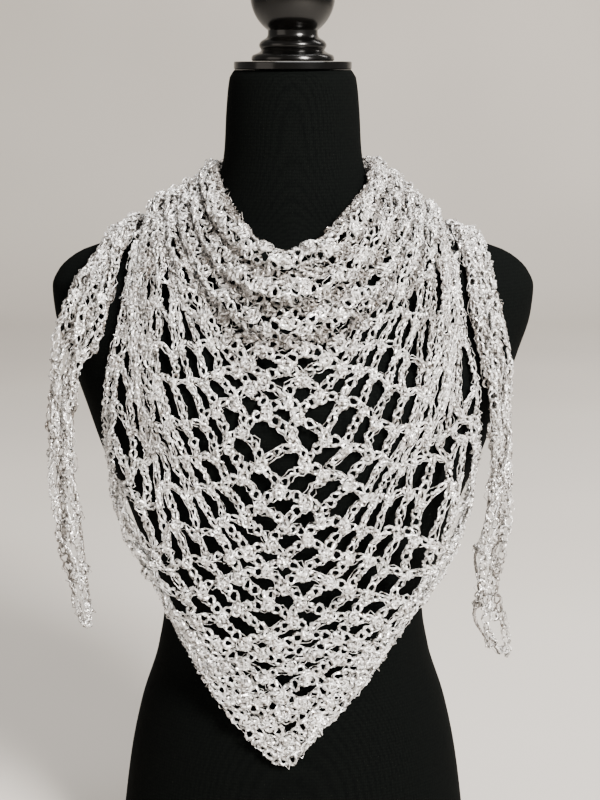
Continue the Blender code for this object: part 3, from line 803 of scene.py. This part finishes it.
def lift(tucked):
    return net["lift"] + net["ridgeLift"] * (0.5 - tucked)


def yarnMeshes():
    # the vertices and faces of each piece, and how far each vertex is tucked into a furrow, which the lurex
    # material darkens as painted shade
    made = {}
    links, wisps = chainLinks()
    perLoop = net["linkPoints"] * net["ribbonSides"]
    for piece, rows in links.items():
        rows = np.concatenate(rows)
        centres, outward, along = rows[:, :3], unit(rows[:, 3:6]), rows[:, 8:]
        tucked, room = rows[:, 6], rows[:, 7]
        count = len(centres)
        length = vary(net["linkLength"], 0.08, count)
        width = vary(net["linkWidth"], 0.18, count) * room
        roll = dice.normal(0, 0.4 + 0.5 * tucked, count)
        pitch = dice.normal(0, 0.14, count)
        centres = centres + outward * (lift(tucked) + dice.normal(0, 0.0005, count))[:, None]
        ribbon = vary(net["ribbonWidth"], 0.12, count) * (0.5 + 0.5 * room)
        if piece.startswith("front"):
            ribbon = ribbon * net["frontRibbon"]
        verts, faces = loops(centres, along, outward, length, width, ribbon, roll, pitch, net["pinch"])
        made[piece] = [(verts, faces, np.repeat(tucked, perLoop)), wispLoops(wisps[piece])]
    s, v = np.array([knot[:2] for knot in knots]).T
    points, along, outward = clothFrame(s, v)
    tucked = tuckedIn(s, np.clip(v, 0, topRow))
    room = rowRoom(s, np.clip(v, 0, topRow), points, along)
    up = np.cross(outward, along)
    for piece in made:
        mine = np.array([knot[2] == piece for knot in knots])
        count = mine.sum()
        narrow = room[mine]
        # the loop up the rows is short where there is little room, and the one along them narrow
        for name, direction, byLength, byWidth in (("up", up, narrow, 1.0), ("along", along, 1.0, narrow)):
            length, width, rise = knotForm[name]
            verts, faces = loops(
                points[mine] + outward[mine] * (lift(tucked[mine]) + rise)[:, None],
                direction[mine] + along[mine] * dice.normal(0, knotForm["turn"], (count, 1)),
                outward[mine],
                vary(length * byLength, 0.1, count),
                vary(width * byWidth, 0.12, count),
                vary(knotForm["ribbon"], 0.1, count) * (0.5 + 0.5 * narrow),
                dice.normal(0, 0.35, count),
                dice.normal(0, 0.2, count),
                knotForm["pinch"],
            )
            made[piece].append((verts, faces, np.repeat(tucked[mine], perLoop)))
    for piece, part in strayLoops().items():
        made[piece].append(part)
    return made


def meshObject(name, verts, faces, material):
    mesh = bpy.data.meshes.new(name)
    mesh.from_pydata(verts, [], faces)
    mesh.shade_smooth()
    mesh.materials.append(material)
    made = bpy.data.objects.new(name, mesh)
    bpy.context.collection.objects.link(made)
    return made


def pieceObject(name, verts, faces, material):
    made = meshObject(name, verts.tolist(), faces, material)
    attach(made, "root")
    return made


# Materials

def colour(code):
    # an sRGB hex colour as Blender's linear one
    parts = [int(code[i:i + 2], 16) / 255 for i in (1, 3, 5)]
    return tuple(p / 12.92 if p <= 0.04045 else ((p + 0.055) / 1.055) ** 2.4 for p in parts) + (1.0,)


def node(tree, kind, inputs, **settings):
    # an input gets a value, or the output that it is linked from
    made = tree.nodes.new(kind)
    for name, value in settings.items():
        setattr(made, name, value)
    for key, value in inputs.items():
        if isinstance(value, bpy.types.NodeSocket):
            tree.links.new(value, made.inputs[key])
        else:
            made.inputs[key].default_value = value
    return made


def newMaterial(name, values):
    made = bpy.data.materials.new(name)
    made.use_nodes = True
    shader = made.node_tree.nodes["Principled BSDF"]
    for key, value in values.items():
        shader.inputs[key].default_value = value
    return made, made.node_tree, shader


def ramp(tree, factor, *stops):
    made = node(tree, "ShaderNodeValToRGB", {"Fac": factor})
    elements = made.color_ramp.elements
    while len(elements) < len(stops):
        elements.new(0.5)
    for element, (place, code) in zip(elements, stops):
        element.position = place
        element.color = colour(code)
    return made.outputs["Color"]


def bump(tree, height, distance, strength):
    inputs = {"Height": height, "Distance": distance, "Strength": strength}
    return node(tree, "ShaderNodeBump", inputs).outputs["Normal"]


def objectPlace(tree):
    return node(tree, "ShaderNodeTexCoord", {}).outputs["Object"]


# Metallised lurex ribbon, chain-crocheted: each small flat of the ribbon is turned its own way and catches
# the light on its own, so it glitters white next to grey; each flat's colour is also painted, from grey
# painted shade to white painted glint
lurex = {
    "paintedGlint": "#ffffff",
    "middle": "#e6e3e0",
    "shade": "#6f6862",
    "paintedFurrowShade": "#6f655c",          # painted shade at the bottom of a gather, where the little light that reaches the yarn comes off other yarn
    "paintedFurrowShadeShare": 0.75,
    "flatSize": 0.0017,           # one flat of the ribbon
    "flatTilt": 1.4,              # how far each flat is turned its own way: 1 is about 27 degrees to a side
    "grain": 0.0011,              # fine creases in the ribbon
    "grainDepth": 0.0004,
    "grainStrength": 0.8,
    "roughness": 0.24,
    "metallic": 0.5,
}


def makeLurex():
    values = {"Metallic": lurex["metallic"], "Roughness": lurex["roughness"]}
    material, tree, shader = newMaterial("silver_lurex_ribbon_crocheted", values)
    place = objectPlace(tree)
    cells = {"Vector": place, "Scale": 1 / lurex["flatSize"], "Randomness": 1.0}
    flats = node(tree, "ShaderNodeTexVoronoi", cells, feature="F1").outputs["Color"]
    tint = node(tree, "ShaderNodeSeparateColor", {"Color": flats}).outputs["Red"]
    # painted glint and shade: each flat gets its own colour, from a grey shade through the silver to a white
    # glint
    shades = ramp(tree, tint, (0.0, lurex["shade"]), (0.25, lurex["middle"]), (0.7, lurex["paintedGlint"]))
    # painted shade: the yarn's colour is mixed towards a darker brown-grey as far as it is tucked into a
    # furrow between gathers
    tucked = node(tree, "ShaderNodeAttribute", {}, attribute_name="tucked").outputs["Fac"]
    depth = node(tree, "ShaderNodeMath", {0: tucked, 1: lurex["paintedFurrowShadeShare"]}, operation="MULTIPLY")
    mixed = {0: depth.outputs[0], 6: shades, 7: colour(lurex["paintedFurrowShade"])}
    paintedFurrowShadeMix = node(tree, "ShaderNodeMix", mixed, data_type="RGBA")
    tree.links.new(paintedFurrowShadeMix.outputs[2], shader.inputs["Base Color"])
    fine = {"Vector": place, "Scale": 1 / lurex["grain"], "Detail": 2.0, "Roughness": 0.6}
    grain = node(tree, "ShaderNodeTexNoise", fine).outputs["Fac"]
    facing = bump(tree, grain, lurex["grainDepth"], lurex["grainStrength"])
    tilt = lurex["flatTilt"]
    turning = {0: flats, 1: (tilt,) * 3, 2: (-tilt / 2,) * 3}
    turn = node(tree, "ShaderNodeVectorMath", turning, operation="MULTIPLY_ADD")
    tilted = node(tree, "ShaderNodeVectorMath", {0: turn.outputs[0], 1: facing}, operation="ADD")
    flat = node(tree, "ShaderNodeVectorMath", {0: tilted.outputs[0]}, operation="NORMALIZE")
    tree.links.new(flat.outputs[0], shader.inputs["Normal"])
    return material


# Black cotton jersey, knitted fine and stretched over the form: it swallows light but for a faint nap
jersey = {
    # painted shade at the stitches' edges, then painted light on their middles
    "deep": "#030404",
    "paintedLitStitch": "#080a09",
    "wale": 0.0016,               # from one stitch to the next, coarser than real so that it shows
    "depth": 0.0003,
    "strength": 0.4,
    "roughness": 0.95,
    "specular": 0.03,
}


def makeJersey():
    values = {"Roughness": jersey["roughness"], "Specular IOR Level": jersey["specular"]}
    material, tree, shader = newMaterial("black_jersey_knitted", values)
    stretched = node(tree, "ShaderNodeMapping", {"Vector": objectPlace(tree), "Scale": (1.0, 1.0, 0.6)})
    cells = {"Vector": stretched.outputs["Vector"], "Scale": 1 / jersey["wale"], "Randomness": 0.35}
    stitches = node(tree, "ShaderNodeTexVoronoi", cells, feature="F1").outputs["Distance"]
    # painted shade: each stitch is lighter at its middle and darker towards its edges, where shade falls
    # between stitches
    shades = ramp(tree, stitches, (0.1, jersey["paintedLitStitch"]), (0.8, jersey["deep"]))
    tree.links.new(shades, shader.inputs["Base Color"])
    tree.links.new(bump(tree, stitches, jersey["depth"], jersey["strength"]), shader.inputs["Normal"])
    return material


# Turned wood in black lacquer, sprayed and polished: sharp reflections, with a little orange peel
lacquer = {
    "body": "#020202",
    "worn": "#070605",
    "cloud": 0.03,
    "peel": 0.0025,               # from one bump of the orange peel to the next
    "depth": 0.0001,
    "strength": 0.15,
    "roughness": 0.22,
    "specular": 0.25,
    "coat": 0.12,
    "coatRoughness": 0.05,
}


def makeLacquer():
    values = {
        "Roughness": lacquer["roughness"],
        "Specular IOR Level": lacquer["specular"],
        "Coat Weight": lacquer["coat"],
        "Coat Roughness": lacquer["coatRoughness"],
    }
    material, tree, shader = newMaterial("black_lacquer_polished", values)
    place = objectPlace(tree)
    cloud = node(tree, "ShaderNodeTexNoise", {"Vector": place, "Scale": 1 / lacquer["cloud"], "Detail": 3.0})
    shades = ramp(tree, cloud.outputs["Fac"], (0.35, lacquer["body"]), (0.8, lacquer["worn"]))
    tree.links.new(shades, shader.inputs["Base Color"])
    peel = node(tree, "ShaderNodeTexNoise", {"Vector": place, "Scale": 1 / lacquer["peel"], "Detail": 1.0})
    uneven = bump(tree, peel.outputs["Fac"], lacquer["depth"], lacquer["strength"])
    tree.links.new(uneven, shader.inputs["Normal"])
    return material


lurexMaterial, jerseyMaterial, lacquerMaterial = makeLurex(), makeJersey(), makeLacquer()
print("materials made")

# The pieces of the scarf, each with the solid that it stands for and its cut, laid flat in arches and rows

scarfPieces = {
    "frontLower": ("scarf_front", (19, 19)),
    "frontLeft": ("scarf_front", (10, 20)),
    "frontRight": ("scarf_front", (10, 20)),
    "napeUnder": ("scarf_nape_under", (8, 20)),
    "napeOver": ("scarf_nape_over", (8, 20)),
    "tailRight": ("scarf_tail_right", (8, 12)),
    "tailLeft": ("scarf_tail_left", (8, 12)),
}


def makeScarf():
    cells = {}
    for _, _, piece in knots:
        cells[piece] = cells.get(piece, 0) + 1
    for piece, parts in yarnMeshes().items():
        verts = np.concatenate([part[0] for part in parts])
        starts = np.cumsum([0] + [len(part[0]) for part in parts[:-1]])
        faces = np.concatenate([part[1] + start for part, start in zip(parts, starts)])
        tucked = np.concatenate([part[2] for part in parts])
        # no yarn goes into the form
        near = formReach(verts) < 1.06
        verts[near] = lifted(verts[near], net["leastGap"], turns=2)
        name = "yarn_" + "".join("_" + c.lower() if c.isupper() else c for c in piece)
        made = pieceObject(name, verts, faces.tolist(), lurexMaterial)
        # the tucked attribute carries the painted furrow shade to the lurex material
        shade = made.data.attributes.new("tucked", "FLOAT", "POINT")
        shade.data.foreach_set("value", tucked.astype(np.float32))
        solid, (wide, high) = scarfPieces[piece]
        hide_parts(solid)
        print(name, len(faces) * 2, "triangles,", cells[piece], "meshes")


def bandFaces(rings, sides):
    # the faces between rings of points, each ring over the last
    return [
        (i * sides + j, i * sides + (j + 1) % sides, (i + 1) * sides + (j + 1) % sides, (i + 1) * sides + j)
        for i in range(rings - 1)
        for j in range(sides)
    ]


def makeForm():
    heights = [*np.arange(0, form["top"], form["ringSpace"]), form["top"]]
    turns = 2 * math.pi * np.arange(form["sides"]) / form["sides"]
    rings = []
    for height in heights:
        section = {name: float(curve(height)) for name, curve in form["sections"].items()}
        c, s = np.cos(turns), np.sin(turns)
        power = 2 / section["roundness"]
        depth = np.where(s > 0, section["back"], section["front"])
        x = section["halfWidth"] * np.copysign(np.abs(c) ** power, c)
        y = depth * np.copysign(np.abs(s) ** power, s)
        rings.append(np.stack((x, y, np.full_like(x, height)), -1))
    verts = np.concatenate(rings)
    sides = form["sides"]
    faces = bandFaces(len(rings), sides)
    faces.append(tuple(range(sides))[::-1])
    faces.append(tuple(range(len(verts) - sides, len(verts))))
    made = pieceObject("form_jersey", verts, faces, jerseyMaterial)
    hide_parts("dress_form")


# The neck cap and the turned knob, as radius and height above the form's neck

turned = {
    "segments": 96,
    "cap": (
        (0.0, 0.0002), (0.0485, 0.0002), (0.0495, 0.0010), (0.0495, 0.0062), (0.0488, 0.0069), (0.0, 0.0069),
    ),
    "knobFoot": (
        (0.0, 0.0072), (0.0338, 0.0072), (0.0348, 0.0085), (0.0346, 0.0104), (0.0336, 0.0122),
        (0.0300, 0.0136), (0.0277, 0.0148), (0.0266, 0.0160), (0.0270, 0.0172), (0.0281, 0.0190),
        (0.0283, 0.0206), (0.0277, 0.0222), (0.0262, 0.0240), (0.0240, 0.0252), (0.0222, 0.0263),
        (0.0212, 0.0280), (0.0209, 0.0297),
    ),
    "ballRadius": 0.0355,
    "ballHeight": 0.0612,
    "ballSteps": 40,
}


def turnedObject(name, profile, solid):
    segments = turned["segments"]
    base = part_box("dress_form")[1][2]
    angles = 2 * math.pi * np.arange(segments) / segments
    circle = np.stack((np.cos(angles), np.sin(angles), 0 * angles), -1)
    rings = [radius * circle + (0, 0, base + height) for radius, height in profile]
    faces = bandFaces(len(rings), segments)
    made = pieceObject(name, np.concatenate(rings), faces, lacquerMaterial)
    weld = made.modifiers.new("closed ends", "WELD")
    weld.merge_threshold = 0.00001
    made.data.set_sharp_from_angle(angle=math.radians(40))
    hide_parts(solid)


def makeTurned():
    turnedObject("cap_plate", turned["cap"], "neck_cap")
    radius, height = turned["ballRadius"], turned["ballHeight"]
    lowest = math.asin(turned["knobFoot"][-1][0] / radius)
    ball = [
        (radius * math.sin(angle), height + radius * math.cos(angle))
        for angle in np.linspace(math.pi - lowest, 0, turned["ballSteps"])
    ]
    turnedObject("knob", turned["knobFoot"] + tuple(ball), "finial")


makeScarf()
makeForm()
makeTurned()
print("pieces made")

# The stage: a plain pale paper floor that sweeps up behind, under soft window light from the right

stage = {
    "paper": "#c4bfb8",
    "cloud": "#bfbab3",           # paper is never quite even
    "cloudSize": 0.6,
    "roughness": 0.9,
    "floorFront": -4.0,
    "sweepStart": 3.3,
    "sweepRadius": 0.9,
    "top": 3.4,
    "halfWidth": 4.5,
}


def makeStage():
    corner = [
        (stage["sweepStart"] + stage["sweepRadius"] * math.sin(a), stage["sweepRadius"] * (1 - math.cos(a)))
        for a in np.linspace(0, math.pi / 2, 16)
    ]
    line = [(stage["floorFront"], 0.0), *corner, (corner[-1][0], stage["top"])]
    verts = [(side * stage["halfWidth"], y, z) for side in (-1, 1) for y, z in line]
    count = len(line)
    faces = [(i, count + i, count + i + 1, i + 1) for i in range(count - 1)]
    material, tree, shader = newMaterial("paper_sweep_matt", {"Roughness": stage["roughness"]})
    uneven = {"Vector": objectPlace(tree), "Scale": 1 / stage["cloudSize"], "Detail": 1.0}
    cloud = node(tree, "ShaderNodeTexNoise", uneven)
    shades = ramp(tree, cloud.outputs["Fac"], (0.35, stage["cloud"]), (0.65, stage["paper"]))
    tree.links.new(shades, shader.inputs["Base Color"])
    meshObject("floor_and_sweep", verts, faces, material)


lights = {
    # name: place, what it is aimed at, size in metres, watts, colour
    "window": ((1.5, -2.2, 2.1), (0, 0, 0.45), (0.8, 1.0), 382, "#fffaf4"),
    "room": ((-2.4, -1.6, 1.2), (0, 0, 0.4), (2.0, 2.0), 24, "#fff4e8"),
    "above": ((0.2, 0.3, 2.6), (0, 0, 0.5), (1.2, 1.2), 45, "#ffffff"),
    "sweep": ((2.2, 1.2, 2.4), (0.6, 4.0, 0.7), (1.5, 1.5), 90, "#fffaf4"),
}
roomLight = {"colour": "#cfcac4", "strength": 0.5}


def makeLights():
    for name, (place, target, size, watts, tint) in lights.items():
        lamp = bpy.data.lights.new(name, "AREA")
        lamp.shape = "RECTANGLE"
        lamp.size, lamp.size_y = size
        lamp.energy = watts
        lamp.color = colour(tint)[:3]
        made = bpy.data.objects.new(name, lamp)
        made.location = place
        made.rotation_euler = (Vector(target) - Vector(place)).to_track_quat("-Z", "Y").to_euler()
        bpy.context.collection.objects.link(made)
    world = bpy.data.worlds.new("room")
    world.use_nodes = True
    background = world.node_tree.nodes["Background"]
    background.inputs["Color"].default_value = colour(roomLight["colour"])
    background.inputs["Strength"].default_value = roomLight["strength"]
    bpy.context.scene.world = world


camera = {
    "place": (0.006, -1.5, 0.702),
    "down": 10.783,
    "sensor": 36,
    "focalPixels": 1759,          # the focal length, in pixels of a picture 800 high
    "pictureHeight": 800,
}


def makeCamera():
    data = bpy.data.cameras.new("camera")
    data.lens = camera["sensor"] * camera["focalPixels"] / camera["pictureHeight"]
    data.sensor_width = camera["sensor"]
    made = bpy.data.objects.new("camera", data)
    made.location = camera["place"]
    made.rotation_euler = (math.radians(90 - camera["down"]), 0, 0)
    bpy.context.collection.objects.link(made)
    bpy.context.scene.camera = made


makeStage()
makeLights()
makeCamera()
print("stage, lights and camera made")
